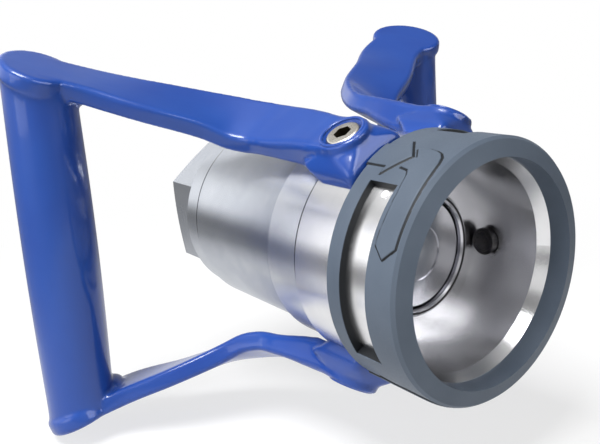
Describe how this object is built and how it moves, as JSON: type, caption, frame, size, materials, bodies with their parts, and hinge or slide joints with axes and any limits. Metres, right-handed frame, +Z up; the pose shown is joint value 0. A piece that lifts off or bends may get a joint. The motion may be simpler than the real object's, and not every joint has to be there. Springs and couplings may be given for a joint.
{
  "type": "dry break coupling",
  "caption": "Hose half of a push-and-turn dry break coupling: polished bell with cam rollers, bumper ring, D handles, sprung valve sleeve and swivelling threaded hose end.",
  "frame": {"origin": "centre of the bell's front rim, on the coupling axis", "axes": "+Y along the coupling axis from the mouth to the hose end, +Z up, the two D handles lie towards -X and +X"},
  "size_m": [0.363, 0.2672, 0.2564],
  "materials": {
    "polished_bell": "polished",
    "machined_body": "satin turned",
    "bumper": "matte",
    "handle_paint": "gloss",
    "steel": "satin",
    "screw_steel": "satin",
    "roller_steel": "dark satin",
    "valve_steel": "polished",
    "spring_steel": "bright drawn",
    "seal": "matte",
    "acetal": "smooth"
  },
  "bodies": {
    "bell": {"bell_housing": "polished_bell", "bumper_ring": "bumper", "locating_pin": "steel", "left_handle": "handle_paint", "right_handle": "handle_paint", "handle_screws": "screw_steel", "roller_pins": "roller_steel", "mouth_wiper": "seal", "swivel_dust_seal": "seal"},
    "barrel": {"swivel_barrel": "machined_body", "swivel_bearing_rings": "acetal", "locking_wire": "steel", "thrust_washer": "acetal", "sleeve_seal": "seal", "poppet": "valve_steel", "poppet_seal": "seal", "spider": "machined_body", "stem_washer": "steel", "stem_nut": "steel", "return_spring": "spring_steel", "hose_end_adapter": "machined_body", "adapter_seal": "seal", "hose_gasket": "seal"},
    "sleeve": {"valve_sleeve": "valve_steel", "face_seal": "seal", "sleeve_guide_ring": "acetal"},
    "roller_1": {"cam_roller_1": "roller_steel"},
    "roller_2": {"cam_roller_2": "roller_steel"},
    "roller_3": {"cam_roller_3": "roller_steel"}
  },
  "joints": [
    {"name": "swivel", "type": "hinge", "parent": "bell", "child": "barrel", "pos_m": [0, 0, 0], "axis": [0, 1, 0], "continuous": true},
    {"name": "sleeve_slide", "type": "slide", "parent": "barrel", "child": "sleeve", "axis": [0, 1, 0], "range_m": [0, 0.018], "stiffness_N_per_m": 6000, "springref_m": -0.012, "deforming": ["return_spring"]},
    {"name": "roller_1_spin", "type": "hinge", "parent": "bell", "child": "roller_1", "pos_m": [0.05743, 0.0439, -0.00442], "axis": [0.9971, 0, -0.0767], "continuous": true},
    {"name": "roller_2_spin", "type": "hinge", "parent": "bell", "child": "roller_2", "pos_m": [-0.02489, 0.0439, 0.05195], "axis": [-0.4321, 0, 0.9018], "continuous": true},
    {"name": "roller_3_spin", "type": "hinge", "parent": "bell", "child": "roller_3", "pos_m": [-0.03254, 0.0439, -0.04753], "axis": [-0.565, 0, -0.8251], "continuous": true}
  ]
}
